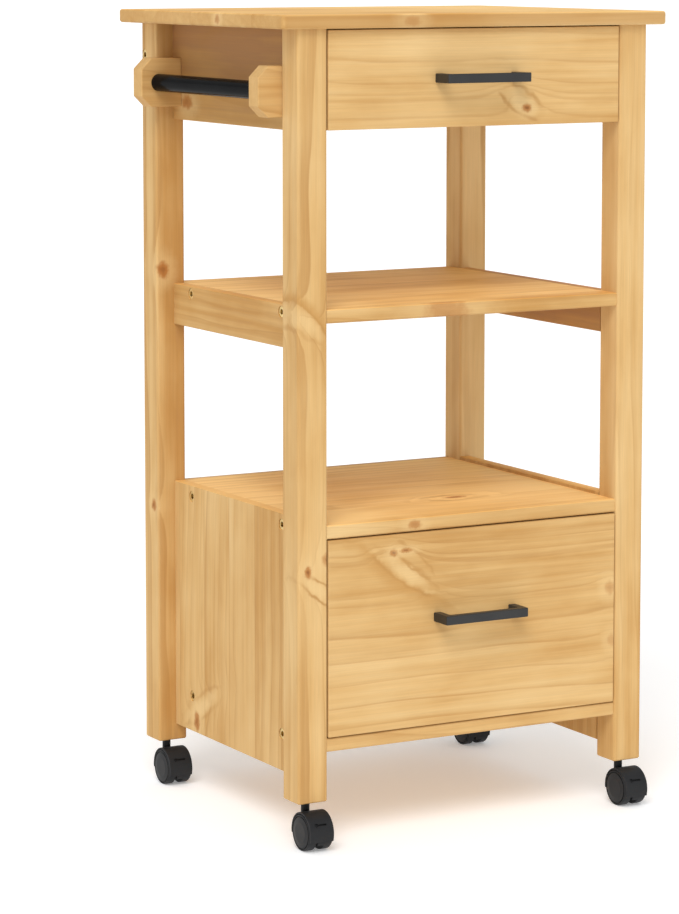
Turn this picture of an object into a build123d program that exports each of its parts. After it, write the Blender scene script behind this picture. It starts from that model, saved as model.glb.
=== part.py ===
from build123d import *
from math import cos, radians, sin
import os

# Kitchen island cart in pine: worktop, two open bays, two drawers, a towel rail and four castors.
# Millimetres, +Z up, front towards -Y, towel rail on the -X side. X = 0 is midway between the posts,
# Z = 0 is the floor, and Y = 0 is midway between the handle fronts and the back edge of the worktop.

os.makedirs("parts", exist_ok=True)

# Overall sizes
total_height = 900.0
top_width = 486.0
top_depth = 400.0
side_overhang = 21.5  # worktop past the posts, left and right
front_overhang = 8.0
back_overhang = 16.0

# Board and post sections
top_thick = 15.0
top_round = 3.0  # long edges, above and below
top_corner_round = 5.0  # corners seen from above
post_size = 36.0
post_round = 3.0
shelf_thick = 15.0
shelf_round = 2.5
side_thick = 14.0  # aprons, rails and cabinet sides
back_apron_thick = 15.0
back_panel_thick = 4.0
edge_round = 1.2  # eased edges of every board

# Heights above the floor, and heights of boards
castor_height = 51.0  # floor to the foot of a post
apron_height = 110.0
middle_shelf_top = 586.0
middle_rail_height = 47.0
lower_shelf_top = 352.5
cabinet_lip = 4.0  # cabinet sides stand this far above the lower shelf
drawer_bay_height = 218.0
cabinet_side_drop = 35.0  # cabinet sides hang this far below the cabinet bottom
shelf_front_setback = 2.0
shelf_back_setback = 8.0
back_panel_side_gap = 0.5

# Drawers
drawer_front_thick = 15.0
drawer_front_side_gap = 1.2
upper_front_height = 106.5
upper_front_top_gap = 1.2
lower_front_top_gap = 1.2
lower_front_bottom_gap = 1.2
drawer_side_thick = 14.0
drawer_side_gap = 2.0  # between a drawer side and the cart's side
drawer_side_lift = 6.0  # bottom edge of a side above the bottom edge of the front
drawer_side_drop = 22.0  # top edge of a side below the top edge of the front
drawer_back_thick = 12.0
drawer_back_drop = 8.0
drawer_back_space = 9.0  # free space behind a closed drawer
drawer_bottom_thick = 4.0
bottom_groove_depth = 6.0
bottom_groove_lift = 8.0
bottom_groove_play = 0.2

# Runners, which the grooves in the drawer sides slide on
runner_height = 12.0
runner_groove_depth = 8.0
runner_tip_gap = 0.5
runner_top_gap = 0.2
runner_bottom_gap = 0.6
runner_front_space = 6.0  # behind the drawer front
runner_back_space = 2.0  # in front of the upper back apron
runner_stop_gap = 0.5
runner_screw_inset = 40.0

# Bar handles
handle_standoff = 28.0
handle_hole_spacing = 96.0
handle_bar_height = 10.0
handle_bar_thick = 8.0
handle_leg_width = 9.0
handle_outer_round = 1.5
handle_inner_round = 2.0
handle_edge_bevel = 0.6
handle_thread_depth = 12.0
lower_handle_rise = 12.5  # the lower handle sits above the middle of its front

# Towel rail
bracket_length = 50.0
bracket_height = 55.0
bracket_thick = 22.0
bracket_chamfer = 12.0
bar_dia = 20.0
bar_wall = 1.5
bar_seat_depth = 14.0
bar_from_apron = 28.0
bar_below_top = 82.0
bracket_screw_spacing = 30.0

# Castors
wheel_dia = 40.0
wheel_width = 11.3
wheel_gap = 9.0  # between the two wheels
wheel_rim = 3.5
wheel_disc = 3.0
wheel_edge_round = 1.6
wheel_inner_bevel = 0.8
wheel_disc_dia = 34.0
wheel_ring_width = 1.2  # groove around the domed disc
wheel_ring_depth = 1.1
wheel_dome = 0.9  # the disc stands out of the rim, on a sloping shoulder
wheel_dome_run = 6.0
hub_dia = 10.0
axle_dia = 5.0
axle_inset = 4.0  # ends of the axle inside the outer faces of the wheels
castor_offset = 17.0  # wheel axle in front of the stem
hood_wall = 1.8
hood_gap = 0.7
hood_side_step = 1.5  # wheels stand this far out of the hood
hood_round = 0.7
hood_front_angle = -20.0  # degrees above the axle, front edge of the hood
hood_back_angle = 190.0
web_gap = 0.3
web_floor_gap = 8.0
neck_dia = 9.5
slot_angle = 30.0  # degrees above the axle, slot in the front of the hood
slot_width = 12.0
slot_height = 2.0
slot_depth = 1.3
slot_eye_dia = 4.2  # round recess at the left end of the slot
stem_dia = 8.0
stem_spigot_dia = 6.0
stem_foot = 24.0
stem_length_in_socket = 35.0
stem_tip_chamfer = 1.0
stem_groove_dia = 7.0
stem_groove_width = 2.0
stem_groove_below_tip = 5.0
stem_shoulder_gap = 0.2
socket_dia = 11.0
socket_length = 38.0
socket_flange_dia = 18.0
socket_flange_thick = 1.2
socket_end_gap = 1.0

# Fasteners and fits
running_gap = 0.05  # radial, for turning and sliding round pieces
press_gap = 0.02  # radial, for pieces that are driven or glued in
hole_end_gap = 0.5
frame_dowel_dia = 8.0
frame_dowel_half = 16.0
drawer_dowel_dia = 6.0
drawer_dowel_in_front = 10.0
drawer_dowel_in_side = 8.0
drawer_dowel_long_end = 20.0
drawer_dowel_above_low_edge = 17.0  # of a drawer side
drawer_dowel_below_top_edge = 14.0
back_dowel_above_low_edge = 10.0  # of a drawer back
back_dowel_below_top_edge = 12.0
apron_dowel_inset = 20.0
rail_dowel_inset = 11.0
panel_dowel_inset = 32.0
frame_screw_dia = 6.0
frame_screw_head_dia = 12.0
frame_screw_head_thick = 3.0
frame_screw_socket = 6.0
frame_screw_socket_depth = 2.2
frame_screw_sink = 0.8
frame_screw_bite = 32.0  # length that the screw holds in the far board
frame_screw_head_room = 0.3
shelf_screw_inset = 43.0
shelf_screw_below_top = 8.5
back_apron_screw_spacing = 36.0
wood_screw_dia = 4.0
wood_screw_head_dia = 8.0
wood_screw_head_thick = 2.2
wood_screw_tip = 3.0
wood_screw_sink_gap = 0.1  # radial, round a sunk head
runner_screw_length = 21.0
bracket_screw_length = 35.0
angle_screw_length = 13.0
back_screw_length = 20.0
back_screw_spacing = 150.0
handle_screw_dia = 4.0
handle_screw_head_dia = 8.0
handle_screw_head_thick = 2.5
handle_screw_in_leg = 10.0
handle_screw_hole_dia = 4.6
angle_leg = 20.0
angle_thick = 1.5
angle_width = 16.0
angle_hole_dia = 4.6
angle_hole_from_end = 7.0
angle_inset = 85.0

# Places worked out from the sizes above
outer_x = top_width / 2 - side_overhang
inner_x = outer_x - post_size  # inner faces of posts, aprons, rails and cabinet sides
side_x = inner_x + side_thick
post_x = outer_x - post_size / 2
frame_depth = top_depth - front_overhang - back_overhang
front_y = handle_standoff - (handle_standoff + frame_depth + back_overhang) / 2
back_y = front_y + frame_depth
side_front_y = front_y + post_size
side_back_y = back_y - post_size
post_top = total_height - top_thick
apron_bottom = post_top - apron_height
lower_shelf_bottom = lower_shelf_top - shelf_thick
cabinet_floor = lower_shelf_bottom - drawer_bay_height
cabinet_side_bottom = cabinet_floor - shelf_thick - cabinet_side_drop
cabinet_side_top = lower_shelf_top + cabinet_lip
shelf_front_y = front_y + shelf_front_setback
shelf_back_y = back_y - shelf_back_setback
back_apron_y = back_y - back_apron_thick
bar_x = -(side_x + bar_from_apron)
bar_z = total_height - bar_below_top
drawer_box_x = inner_x - drawer_side_gap
drawer_inner_x = drawer_box_x - drawer_side_thick
drawer_front_back_y = front_y + drawer_front_thick
drawer_back_y = back_apron_y - drawer_back_space
runner_front_y = drawer_front_back_y + runner_front_space
runner_back_y = back_apron_y - runner_back_space
wheel_radius = wheel_dia / 2
hood_inner_radius = wheel_radius + hood_gap
hood_outer_radius = hood_inner_radius + hood_wall
castor_half_width = wheel_gap / 2 + wheel_width

UP = Vector(0, 0, 1)
BACK = Vector(0, 1, 0)
RIGHT = Vector(1, 0, 0)


def block(x0, x1, y0, y1, z0, z1):
    """Box between two corners."""
    middle = Pos((x0 + x1) / 2, (y0 + y1) / 2, (z0 + z1) / 2)
    return middle * Box(x1 - x0, y1 - y0, z1 - z0)


def rod(start, direction, length, diameter):
    """Cylinder that runs from a point along a direction."""
    along = (Align.CENTER, Align.CENTER, Align.MIN)
    return Plane(origin=start, z_dir=direction) * Cylinder(diameter / 2, length, align=along)


def eased(board, along=None, radius=edge_round):
    """Board with its edges rounded, as sanding leaves them: all of them, or those along one axis."""
    edges = board.edges().filter_by(along) if along else board.edges()
    return fillet(edges, radius)


def mirrored(shape):
    """The same piece on the other side of the cart."""
    return mirror(shape, about=Plane.YZ)


def reaches(one, other):
    """True where the boxes of two shapes meet."""
    a, b = one.bounding_box(), other.bounding_box()
    return all(
        low < high
        for low, high in (
            (a.min.X, b.max.X), (b.min.X, a.max.X),
            (a.min.Y, b.max.Y), (b.min.Y, a.max.Y),
            (a.min.Z, b.max.Z), (b.min.Z, a.max.Z),
        )
    )


def drilled(piece, holes):
    """Piece with every hole that passes through it."""
    near = [hole for hole in holes if reaches(piece, hole)]
    return piece - near if near else piece


def group(pieces):
    """Several separate solids under one name."""
    return Compound([solid for piece in pieces for solid in piece.solids()])


def dowel(joint, direction, before, after, diameter):
    """Round dowel across a joint, and the hole for it in both boards."""
    pin = rod(joint - direction * before, direction, before + after, diameter)
    length = before + after + 2 * hole_end_gap
    hole = rod(joint - direction * (before + hole_end_gap), direction, length, diameter + 2 * press_gap)
    return pin, hole


def frame_screw(face, direction, near_board):
    """Connecting screw sunk into a face, with a hex socket, and its stepped hole."""
    seat = face + direction * (frame_screw_sink + frame_screw_head_thick)
    shank = near_board - frame_screw_sink - frame_screw_head_thick + frame_screw_bite
    screw = rod(face + direction * frame_screw_sink, direction, frame_screw_head_thick, frame_screw_head_dia)
    screw += rod(seat, direction, shank, frame_screw_dia)
    socket = RegularPolygon(frame_screw_socket / 2, 6, major_radius=False)
    top = Plane(origin=face + direction * frame_screw_sink, z_dir=direction)
    screw -= extrude(top * socket, frame_screw_socket_depth, dir=direction)
    head_hole = frame_screw_head_dia + 2 * frame_screw_head_room
    hole = rod(face, direction, frame_screw_sink + frame_screw_head_thick, head_hole)
    hole += rod(seat, direction, shank + hole_end_gap, frame_screw_dia + 2 * press_gap)
    return screw, hole


def wood_screw(face, direction, length, flat=True):
    """Wood screw with a sunk or a raised head, and its hole below the face."""
    head, neck, sunk = wood_screw_head_dia / 2, wood_screw_dia / 2, wood_screw_head_thick
    if flat:
        outline = [(0, 0), (head, 0), (neck, sunk)]
    else:
        outline = [(0, -sunk), (head, -sunk), (head, 0), (neck, 0)]
    outline += [(neck, length - wood_screw_tip), (0, length)]
    gap = press_gap
    if flat:
        wide = head + wood_screw_sink_gap
        hollow = [(0, 0), (wide, 0), (neck + wood_screw_sink_gap, sunk), (neck + gap, sunk)]
        hollow += [(neck + gap, length + hole_end_gap)]
    else:
        hollow = [(0, 0), (neck + gap, 0), (neck + gap, length + hole_end_gap)]
    hollow += [(0, length + hole_end_gap)]
    place = Plane(origin=face, z_dir=direction)
    return tuple(place * turned(points) for points in (outline, hollow))


def turned(points):
    """Solid of revolution about Z from (radius, height) points."""
    profile = make_face(Plane.XZ * Polyline(*points, close=True))
    return revolve(profile, Axis.Z)


def worktop():
    top = block(
        -top_width / 2, top_width / 2,
        front_y - front_overhang, back_y + back_overhang,
        post_top, total_height,
    )
    top = eased(top, Axis.Z, top_corner_round)
    return fillet(top.faces().filter_by(Axis.Z).edges(), top_round)


def post(x, y):
    half = post_size / 2
    leg = block(x - half, x + half, y - half, y + half, castor_height, post_top)
    leg = fillet(leg.edges().filter_by(Axis.Z), post_round)
    foot = leg.faces().sort_by(Axis.Z)[0]
    return chamfer(foot.edges(), edge_round)


def side_board(bottom, top):
    """Board on the right between the posts, flush with their inner faces."""
    return eased(block(inner_x, side_x, side_front_y, side_back_y, bottom, top), Axis.Y)


def shelf(top):
    """Board from side to side between the posts."""
    board = block(-inner_x, inner_x, shelf_front_y, shelf_back_y, top - shelf_thick, top)
    return eased(board, Axis.X, shelf_round)


def upper_back():
    return eased(block(-inner_x, inner_x, back_apron_y, back_y, apron_bottom, post_top), Axis.X)


def cabinet_back():
    half = inner_x - back_panel_side_gap
    bottom = cabinet_floor - shelf_thick
    return block(-half, half, shelf_back_y, shelf_back_y + back_panel_thick, bottom, lower_shelf_top)


def towel_bracket(near_y, seat_y):
    """Chamfered block on the left apron, with a blind seat for the bar."""
    x0, x1 = -side_x, -side_x - bracket_length
    low, high = bar_z - bracket_height / 2, bar_z + bracket_height / 2
    cut = bracket_chamfer
    outline = Polyline(
        (x0, low), (x1 + cut, low), (x1, low + cut), (x1, high - cut), (x1 + cut, high), (x0, high),
        close=True,
    )
    bracket = extrude(Plane.XZ.offset(-near_y) * make_face(outline), -bracket_thick)
    bracket = eased(bracket)
    inward = BACK if seat_y > near_y + bracket_thick / 2 else -BACK
    seat = rod(Vector(bar_x, seat_y, bar_z) - inward * bar_seat_depth, inward, bar_seat_depth,
               bar_dia + 2 * running_gap)
    return bracket - seat


def towel_bar():
    """Steel tube that ends in the two brackets."""
    front = side_front_y + bracket_thick - bar_seat_depth
    length = side_back_y - side_front_y - 2 * (bracket_thick - bar_seat_depth)
    start = Vector(bar_x, front + hole_end_gap / 2, bar_z)
    tube = rod(start, BACK, length - hole_end_gap, bar_dia)
    return tube - rod(start, BACK, length - hole_end_gap, bar_dia - 2 * bar_wall)


def runner(groove_top):
    """Batten on the right-hand side that a drawer side's groove slides on."""
    depth = runner_groove_depth + drawer_side_gap - runner_tip_gap
    top = groove_top - runner_top_gap
    return block(inner_x - depth, inner_x, runner_front_y, runner_back_y, top - runner_height, top)


def angle_bracket(y):
    """Steel angle between the right apron and the worktop."""
    y0, y1 = y - angle_width / 2, y + angle_width / 2
    upright = block(inner_x - angle_thick, inner_x, y0, y1, post_top - angle_leg, post_top)
    flat = block(inner_x - angle_leg, inner_x, y0, y1, post_top - angle_thick, post_top)
    across = Vector(inner_x - angle_leg, y, post_top - angle_leg + angle_hole_from_end)
    upwards = Vector(inner_x - angle_leg + angle_hole_from_end, y, post_top - angle_leg)
    holes = rod(across, RIGHT, angle_leg, angle_hole_dia) + rod(upwards, UP, angle_leg, angle_hole_dia)
    return upright + flat - holes


def angle_screws(y):
    """The two screws of a steel angle, with their holes in the wood."""
    across = Vector(inner_x - angle_thick, y, post_top - angle_leg + angle_hole_from_end)
    upwards = Vector(inner_x - angle_leg + angle_hole_from_end, y, post_top - angle_thick)
    return [
        wood_screw(across, RIGHT, angle_screw_length, flat=False),
        wood_screw(upwards, UP, angle_screw_length, flat=False),
    ]


def handle(z):
    """Flat bar handle with two square legs, bored for its screws."""
    half = (handle_hole_spacing + handle_leg_width) / 2
    face, tip = front_y, front_y - handle_standoff
    inside = half - handle_leg_width
    outline = make_face(Polyline(
        (-half, face), (-half, tip), (half, tip), (half, face),
        (inside, face), (inside, tip + handle_bar_thick),
        (-inside, tip + handle_bar_thick), (-inside, face),
        close=True,
    ))
    outline = fillet(outline.vertices().group_by(Axis.Y)[0], handle_outer_round)
    outline = fillet(outline.vertices().group_by(Axis.Y)[-2], handle_inner_round)
    bar = extrude(Plane.XY.offset(z - handle_bar_height / 2) * outline, handle_bar_height)
    bar = chamfer(bar.faces().filter_by(Axis.Z).edges(), handle_edge_bevel)
    bore = handle_screw_dia + 2 * running_gap
    for x in (-handle_hole_spacing / 2, handle_hole_spacing / 2):
        bar -= rod(Vector(x, face, z), -BACK, handle_thread_depth, bore)
    return bar


def handle_screws(z):
    """Machine screws from inside the drawer, and their holes in the front."""
    pins, holes = [], []
    length = drawer_front_thick + handle_screw_in_leg
    for x in (-handle_hole_spacing / 2, handle_hole_spacing / 2):
        seat = Vector(x, drawer_front_back_y, z)
        head = rod(seat, BACK, handle_screw_head_thick, handle_screw_head_dia)
        pins.append(head + rod(seat, -BACK, length, handle_screw_dia))
        holes.append(rod(seat, -BACK, drawer_front_thick, handle_screw_hole_dia))
    return pins, holes


def drawer(name, front_bottom, front_height, handle_z):
    """All pieces of one drawer, and the runners that carry it."""
    front_top = front_bottom + front_height
    low, high = front_bottom + drawer_side_lift, front_top - drawer_side_drop
    groove_z = low + bottom_groove_lift
    bottom_top = groove_z + drawer_bottom_thick
    back_top = high - drawer_back_drop
    back_y0 = drawer_back_y - drawer_back_thick
    runner_groove = runner_height + runner_top_gap + runner_bottom_gap
    groove_top = (low + high + runner_groove) / 2
    groove_x = drawer_inner_x + bottom_groove_depth

    front = eased(block(
        -inner_x + drawer_front_side_gap, inner_x - drawer_front_side_gap,
        front_y, drawer_front_back_y, front_bottom, front_top,
    ))
    side = block(drawer_inner_x, drawer_box_x, drawer_front_back_y, drawer_back_y, low, high)
    side = fillet(side.edges().filter_by(Axis.Y).group_by(Axis.Z)[-1], edge_round)
    side -= block(
        drawer_box_x - runner_groove_depth, drawer_box_x,
        runner_front_y - runner_stop_gap, drawer_back_y,
        groove_top - runner_groove, groove_top,
    )
    back = block(-drawer_inner_x, drawer_inner_x, back_y0, drawer_back_y, bottom_top, back_top)
    play = bottom_groove_play
    bottom = block(
        play - groove_x, groove_x - play,
        drawer_front_back_y - bottom_groove_depth + play, drawer_back_y,
        groove_z, bottom_top,
    )
    groove = block(
        -groove_x, groove_x,
        drawer_front_back_y - bottom_groove_depth, drawer_back_y,
        groove_z - play, bottom_top,
    )

    joints = []
    for z in (low + drawer_dowel_above_low_edge, high - drawer_dowel_below_top_edge):
        joint = Vector((drawer_inner_x + drawer_box_x) / 2, drawer_front_back_y, z)
        joints.append(dowel(joint, BACK, drawer_dowel_in_front, drawer_dowel_long_end, drawer_dowel_dia))
    for z in (bottom_top + back_dowel_above_low_edge, back_top - back_dowel_below_top_edge):
        joint = Vector(drawer_inner_x, (back_y0 + drawer_back_y) / 2, z)
        joints.append(dowel(joint, RIGHT, drawer_dowel_long_end, drawer_dowel_in_side, drawer_dowel_dia))
    pins = [pin for pin, hole in joints]
    holes = [hole for pin, hole in joints]
    pins += [mirrored(pin) for pin in pins]
    holes += [mirrored(hole) for hole in holes]
    screws, screw_holes = handle_screws(handle_z)

    side = drilled(side - groove, holes)
    batten = runner(groove_top)
    return {
        f"{name}_drawer_front": drilled(front - groove, holes + screw_holes),
        f"{name}_drawer_side_left": mirrored(side),
        f"{name}_drawer_side_right": side,
        f"{name}_drawer_back": drilled(back, holes),
        f"{name}_drawer_bottom": bottom,
        f"{name}_drawer_handle": handle(handle_z),
        f"{name}_handle_screws": group(screws),
        f"{name}_drawer_dowels": group(pins),
    }, batten


def wheel():
    """Hollow wheel on the right of a castor, bored from the inside for the axle."""
    inner, outer = wheel_gap / 2, castor_half_width
    rim_face = outer - wheel_dome
    cavity = outer - wheel_disc
    rim_inside = wheel_radius - wheel_rim
    disc = wheel_disc_dia / 2
    bore = axle_dia / 2 + running_gap
    blind = outer - axle_inset + hole_end_gap
    tread_end = (wheel_radius, rim_face - wheel_edge_round)
    lip = (wheel_radius - wheel_edge_round, rim_face)
    inside = Polyline(
        (bore, inner), (hub_dia / 2, inner), (hub_dia / 2, cavity), (rim_inside, cavity),
        (rim_inside, inner), (wheel_radius - wheel_inner_bevel, inner),
        (wheel_radius, inner + wheel_inner_bevel), tread_end,
    )
    edge = RadiusArc(tread_end, lip, -wheel_edge_round)
    ring = Polyline(
        lip, (disc + wheel_ring_width, rim_face), (disc + wheel_ring_width, rim_face - wheel_ring_depth),
        (disc, rim_face - wheel_ring_depth), (disc, rim_face),
    )
    middle = Polyline(
        (disc, rim_face), (disc - wheel_dome_run, outer), (0, outer),
        (0, blind), (bore, blind), (bore, inner),
    )
    profile = Plane.XZ * make_face(Curve() + [inside, edge, ring, middle])
    return revolve(profile, Axis.Z)


def castor(x, y):
    """Hood, steel pins and two wheels of a swivel castor, with the wheels in front of the stem."""
    axle_y = y - castor_offset
    axle = Vector(x, axle_y, wheel_radius)
    width = 2 * (castor_half_width - hood_side_step)
    sector_from, sector_to = radians(hood_front_angle), radians(hood_back_angle)

    def rim(radius, angle):
        return (-radius * cos(angle), radius * sin(angle))

    middle = (sector_from + sector_to) / 2
    arc_out = ThreePointArc(*(rim(hood_outer_radius, a) for a in (sector_from, middle, sector_to)))
    arc_in = ThreePointArc(*(rim(hood_inner_radius, a) for a in (sector_to, middle, sector_from)))
    ends = [Line(arc_out @ 1, arc_in @ 0), Line(arc_in @ 1, arc_out @ 0)]
    side_view = Plane(origin=axle, x_dir=BACK, z_dir=RIGHT)
    shell = make_face(Curve() + [arc_out, arc_in, *ends])
    shell = extrude(side_view * shell, width / 2, both=True)
    shell = fillet(shell.edges().filter_by(GeomType.CIRCLE).sort_by(SortBy.RADIUS)[-2:], hood_round)

    half_web = wheel_gap / 2 - web_gap
    web = rod(axle - RIGHT * half_web, RIGHT, 2 * half_web, 2 * hood_inner_radius + hood_wall)
    below = block(x - width, x + width, axle_y - wheel_dia, axle_y + wheel_dia, -wheel_dia, web_floor_gap)
    shoulder = castor_height - socket_flange_thick - stem_shoulder_gap
    neck = rod(Vector(x, y, wheel_radius), UP, shoulder - wheel_radius, neck_dia)
    neck -= rod(axle - RIGHT * width, RIGHT, 2 * width, 2 * hood_inner_radius)
    hood = shell + (web - below) + neck
    outwards = Vector(0, -cos(radians(slot_angle)), sin(radians(slot_angle)))
    slot = Plane(origin=axle + outwards * hood_outer_radius, x_dir=RIGHT, z_dir=outwards)
    hood -= slot * Box(slot_width, slot_height, 2 * slot_depth)
    hood -= slot * Pos(-slot_width / 2, 0, 0) * Cylinder(slot_eye_dia / 2, 2 * slot_depth)
    hood -= rod(Vector(x, y, stem_foot), UP, shoulder, stem_spigot_dia + 2 * press_gap)
    hood -= rod(axle - RIGHT * width, RIGHT, 2 * width, axle_dia + 2 * press_gap)

    tip = castor_height + stem_length_in_socket
    groove = tip - stem_groove_below_tip
    half, spigot, waist = stem_dia / 2, stem_spigot_dia / 2, stem_groove_dia / 2
    stem = Pos(x, y, 0) * turned([
        (0, stem_foot), (spigot, stem_foot), (spigot, shoulder), (half, shoulder),
        (half, groove - stem_groove_width), (waist, groove - stem_groove_width),
        (waist, groove), (half, groove), (half, tip - stem_tip_chamfer),
        (half - stem_tip_chamfer, tip), (0, tip),
    ])
    pin_half = castor_half_width - axle_inset
    pin = rod(axle - RIGHT * pin_half, RIGHT, 2 * pin_half, axle_dia)
    right = Plane(origin=axle, x_dir=UP, z_dir=RIGHT) * wheel()
    left = Plane(origin=axle, x_dir=UP, z_dir=-RIGHT) * wheel()
    return hood, group([stem, pin]), left, right


def castor_socket(x, y):
    """Flanged sleeve in the foot of a post, and the hole that it is driven into."""
    foot = Vector(x, y, castor_height)
    sleeve = rod(foot, UP, socket_length, socket_dia)
    sleeve += rod(foot - UP * socket_flange_thick, UP, socket_flange_thick, socket_flange_dia)
    sleeve -= rod(foot - UP * socket_length, UP, 2 * socket_length, stem_dia + 2 * running_gap)
    hole = rod(foot, UP, socket_length + socket_end_gap, socket_dia + 2 * press_gap)
    return sleeve, hole


def both_sides(fasteners):
    """Fasteners and holes of the right-hand side, with their mirror images."""
    return fasteners + [(mirrored(pin), mirrored(hole)) for pin, hole in fasteners]


# Posts and their castors, named by corner
corners = {
    "front_left": (-post_x, front_y + post_size / 2),
    "front_right": (post_x, front_y + post_size / 2),
    "back_left": (-post_x, back_y - post_size / 2),
    "back_right": (post_x, back_y - post_size / 2),
}

# Glued dowels between the side boards and the posts
middle_x = (inner_x + side_x) / 2
dowel_heights = [
    apron_bottom + apron_dowel_inset, post_top - apron_dowel_inset,
    middle_shelf_top - rail_dowel_inset, middle_shelf_top - middle_rail_height + rail_dowel_inset,
    cabinet_side_bottom + panel_dowel_inset, cabinet_side_top - panel_dowel_inset,
]
frame_dowels = both_sides([
    dowel(Vector(middle_x, y, z), BACK, frame_dowel_half, frame_dowel_half, frame_dowel_dia)
    for y in (side_front_y, side_back_y)
    for z in dowel_heights
])

# Screws through the sides into the ends of the shelves, and through the back posts into the back apron
board_tops = (middle_shelf_top, lower_shelf_top, cabinet_floor)
frame_screws = [
    frame_screw(Vector(side_x, y, top - shelf_screw_below_top), -RIGHT, side_thick)
    for y in (side_front_y + shelf_screw_inset, side_back_y - shelf_screw_inset)
    for top in board_tops
]
back_apron_middle = (apron_bottom + post_top) / 2
for z in (back_apron_middle - back_apron_screw_spacing / 2, back_apron_middle + back_apron_screw_spacing / 2):
    frame_screws.append(frame_screw(Vector(outer_x, back_y - back_apron_thick / 2, z), -RIGHT, post_size))
frame_screws = both_sides(frame_screws)

# Drawers and their runners
upper_front_bottom = post_top - upper_front_top_gap - upper_front_height
upper_drawer, upper_runner = drawer(
    "upper", upper_front_bottom, upper_front_height, upper_front_bottom + upper_front_height / 2,
)
lower_front_bottom = cabinet_floor + lower_front_bottom_gap
lower_front_height = drawer_bay_height - lower_front_bottom_gap - lower_front_top_gap
lower_drawer, lower_runner = drawer(
    "lower", lower_front_bottom, lower_front_height,
    lower_front_bottom + lower_front_height / 2 + lower_handle_rise,
)

# Wood screws: runners, towel brackets, steel angles and back panel
wood_screws = []
for batten in (upper_runner, lower_runner):
    box = batten.bounding_box()
    for y in (box.min.Y + runner_screw_inset, box.max.Y - runner_screw_inset):
        head = Vector(box.min.X, y, (box.min.Z + box.max.Z) / 2)
        wood_screws.append(wood_screw(head, RIGHT, runner_screw_length))
angle_places = (side_front_y + angle_inset, side_back_y - angle_inset)
for y in angle_places:
    wood_screws += angle_screws(y)
wood_screws = both_sides(wood_screws)
for y in (side_front_y + bracket_thick / 2, side_back_y - bracket_thick / 2):
    for z in (bar_z - bracket_screw_spacing / 2, bar_z + bracket_screw_spacing / 2):
        wood_screws.append(wood_screw(Vector(-inner_x, y, z), -RIGHT, bracket_screw_length))
for x in (-back_screw_spacing, 0, back_screw_spacing):
    for top in (lower_shelf_top, cabinet_floor):
        head = Vector(x, shelf_back_y + back_panel_thick, top - shelf_thick / 2)
        wood_screws.append(wood_screw(head, -BACK, back_screw_length))

sockets = {corner: castor_socket(*place) for corner, place in corners.items()}
holes = [hole for pin, hole in frame_dowels + frame_screws + wood_screws + list(sockets.values())]

right_boards = {
    "upper_side": side_board(apron_bottom, post_top),
    "middle_rail": side_board(middle_shelf_top - middle_rail_height, middle_shelf_top),
    "cabinet_side": side_board(cabinet_side_bottom, cabinet_side_top),
    "upper_runner": upper_runner,
    "lower_runner": lower_runner,
}
frame = {
    "worktop": worktop(),
    "upper_back": upper_back(),
    "middle_shelf": shelf(middle_shelf_top),
    "lower_shelf": shelf(lower_shelf_top),
    "cabinet_bottom": shelf(cabinet_floor),
    "cabinet_back": cabinet_back(),
    "towel_bracket_front": towel_bracket(side_front_y, side_front_y + bracket_thick),
    "towel_bracket_back": towel_bracket(side_back_y - bracket_thick, side_back_y - bracket_thick),
}
for corner, place in corners.items():
    frame[f"post_{corner}"] = post(*place)
for name, board in right_boards.items():
    frame[f"{name}_right"] = board
    frame[f"{name}_left"] = mirrored(board)

nodes = {name: drilled(piece, holes) for name, piece in frame.items()}
nodes["towel_bar"] = towel_bar()
nodes["frame_dowels"] = group([pin for pin, hole in frame_dowels])
nodes["frame_screws"] = group([pin for pin, hole in frame_screws])
nodes["wood_screws"] = group([pin for pin, hole in wood_screws])
angles = [angle_bracket(y) for y in angle_places]
nodes["top_angle_brackets"] = group(angles + [mirrored(angle) for angle in angles])
nodes["castor_sockets"] = group([sleeve for sleeve, hole in sockets.values()])
nodes.update(upper_drawer)
nodes.update(lower_drawer)
for corner, place in corners.items():
    hood, pins, left, right = castor(*place)
    nodes[f"castor_{corner}_hood"] = hood
    nodes[f"castor_{corner}_pins"] = pins
    nodes[f"castor_{corner}_wheel_left"] = left
    nodes[f"castor_{corner}_wheel_right"] = right

for name, shape in nodes.items():
    export_step(shape, f"parts/{name}.step")
print(len(nodes), "nodes written")
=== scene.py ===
import math

import bmesh
import bpy
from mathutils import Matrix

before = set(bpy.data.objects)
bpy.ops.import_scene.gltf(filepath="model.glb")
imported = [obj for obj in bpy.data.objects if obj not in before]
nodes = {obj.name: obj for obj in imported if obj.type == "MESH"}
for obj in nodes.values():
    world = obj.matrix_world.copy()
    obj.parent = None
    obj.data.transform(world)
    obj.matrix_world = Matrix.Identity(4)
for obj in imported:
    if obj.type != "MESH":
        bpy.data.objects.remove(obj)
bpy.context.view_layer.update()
print("frame loaded:", len(nodes), "nodes")


# small helpers for shader trees

def addNode(tree, kind, inputs=None, **settings):
    made = tree.nodes.new(kind)
    for key, value in settings.items():
        setattr(made, key, value)
    for key, value in (inputs or {}).items():
        if isinstance(value, bpy.types.NodeSocket):
            tree.links.new(value, made.inputs[key])
        else:
            made.inputs[key].default_value = value
    return made


def calc(tree, operation, first, second=0.0):
    return addNode(tree, "ShaderNodeMath", {0: first, 1: second}, operation=operation).outputs[0]


def plus(tree, first, second):
    return calc(tree, "ADD", first, second)


def times(tree, first, second):
    return calc(tree, "MULTIPLY", first, second)


def sway(tree, chance, amount):
    # a value from 0 to 1 becomes a shift to either side
    return times(tree, calc(tree, "SUBTRACT", chance, 0.5), amount)


def vectorCalc(tree, operation, first, second=(0.0, 0.0, 0.0)):
    made = addNode(tree, "ShaderNodeVectorMath", {0: first, 1: second}, operation=operation)
    return made.outputs["Value" if operation in ("LENGTH", "DOT_PRODUCT") else "Vector"]


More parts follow.
